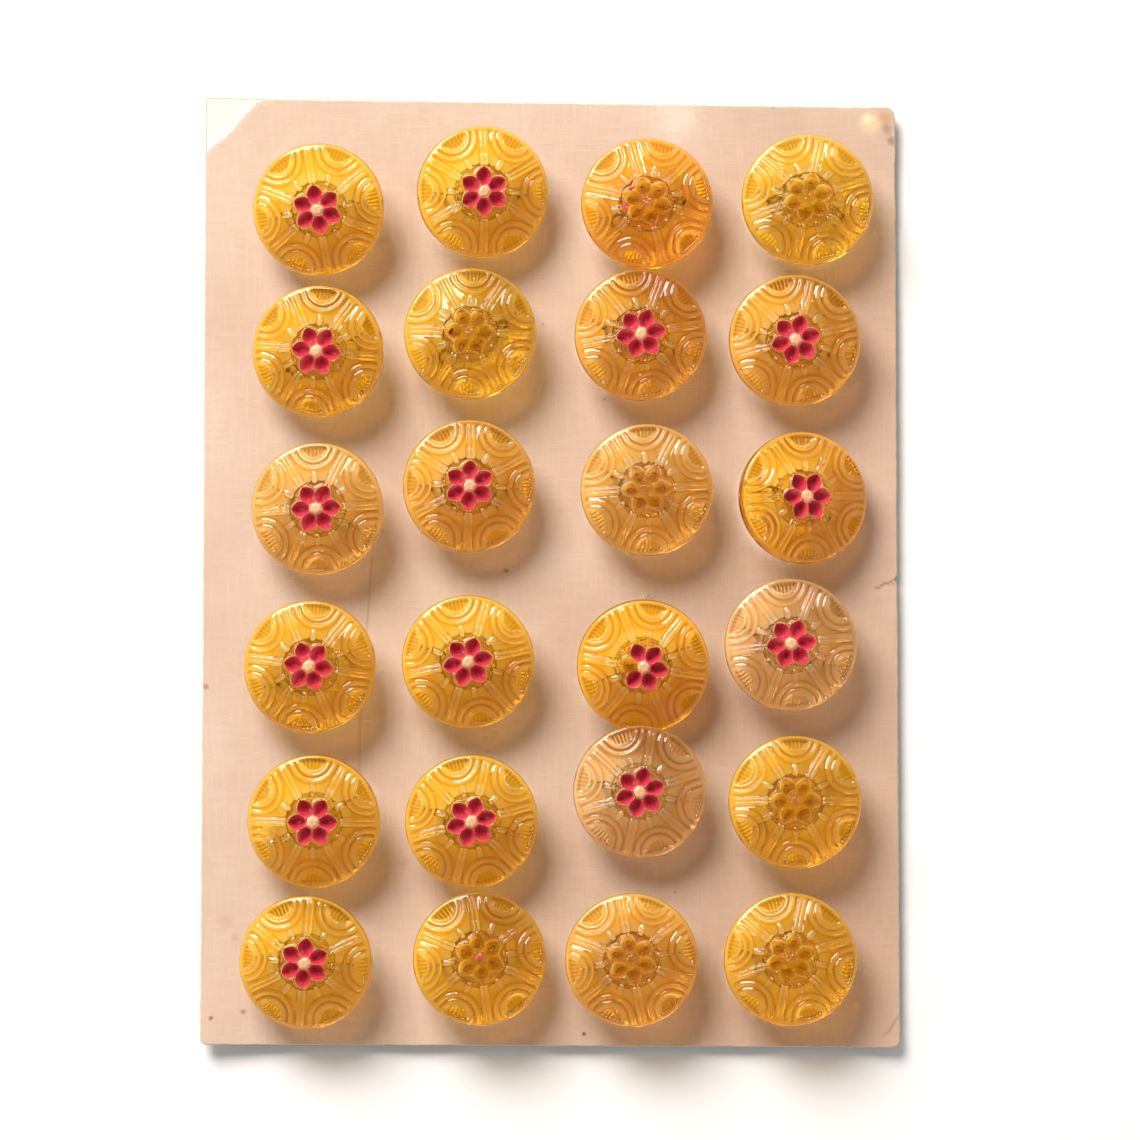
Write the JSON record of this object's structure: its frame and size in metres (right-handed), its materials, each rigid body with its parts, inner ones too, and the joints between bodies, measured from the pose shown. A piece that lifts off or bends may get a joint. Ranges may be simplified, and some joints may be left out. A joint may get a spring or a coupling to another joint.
{
  "type": "card of buttons",
  "caption": "Paper card carrying rows of domed clear amber pressed-glass shank buttons with a red flower pressed in each face, each sewn on with thread.",
  "frame": {"origin": "middle of the card's outline, on the surface that the knots behind the card rest on", "axes": "+Z out of the card's front, +Y towards the card's top edge, +X to the right across the rows"},
  "size_m": [0.095, 0.1304, 0.0111],
  "materials": {
    "card_board": "linen-embossed pinkish beige board, aged and stained",
    "golden_glass": "clear golden amber pressed glass, fire-polished",
    "lemon_glass": "clear lemon amber pressed glass, fire-polished",
    "pale_glass": "clear champagne amber pressed glass, fire-polished",
    "sewing_thread": "cream cotton sewing thread"
  },
  "bodies": {
    "root": {"card": "card_board", "button_r1_c1": "golden_glass", "thread_r1_c1": "sewing_thread", "button_r1_c2": "golden_glass", "thread_r1_c2": "sewing_thread", "button_r1_c3": "golden_glass", "thread_r1_c3": "sewing_thread", "button_r1_c4": "lemon_glass", "thread_r1_c4": "sewing_thread", "button_r2_c1": "golden_glass", "thread_r2_c1": "sewing_thread", "button_r2_c2": "lemon_glass", "thread_r2_c2": "sewing_thread", "button_r2_c3": "pale_glass", "thread_r2_c3": "sewing_thread", "button_r2_c4": "pale_glass", "thread_r2_c4": "sewing_thread", "button_r3_c1": "pale_glass", "thread_r3_c1": "sewing_thread", "button_r3_c2": "pale_glass", "thread_r3_c2": "sewing_thread", "button_r3_c3": "pale_glass", "thread_r3_c3": "sewing_thread", "button_r3_c4": "pale_glass", "thread_r3_c4": "sewing_thread", "button_r4_c1": "golden_glass", "thread_r4_c1": "sewing_thread", "button_r4_c2": "golden_glass", "thread_r4_c2": "sewing_thread", "button_r4_c3": "golden_glass", "thread_r4_c3": "sewing_thread", "button_r4_c4": "pale_glass", "thread_r4_c4": "sewing_thread", "button_r5_c1": "golden_glass", "thread_r5_c1": "sewing_thread", "button_r5_c2": "golden_glass", "thread_r5_c2": "sewing_thread", "button_r5_c3": "pale_glass", "thread_r5_c3": "sewing_thread", "button_r5_c4": "golden_glass", "thread_r5_c4": "sewing_thread", "button_r6_c1": "golden_glass", "thread_r6_c1": "sewing_thread", "button_r6_c2": "golden_glass", "thread_r6_c2": "sewing_thread", "button_r6_c3": "pale_glass", "thread_r6_c3": "sewing_thread", "button_r6_c4": "golden_glass", "thread_r6_c4": "sewing_thread"}
  },
  "joints": []
}
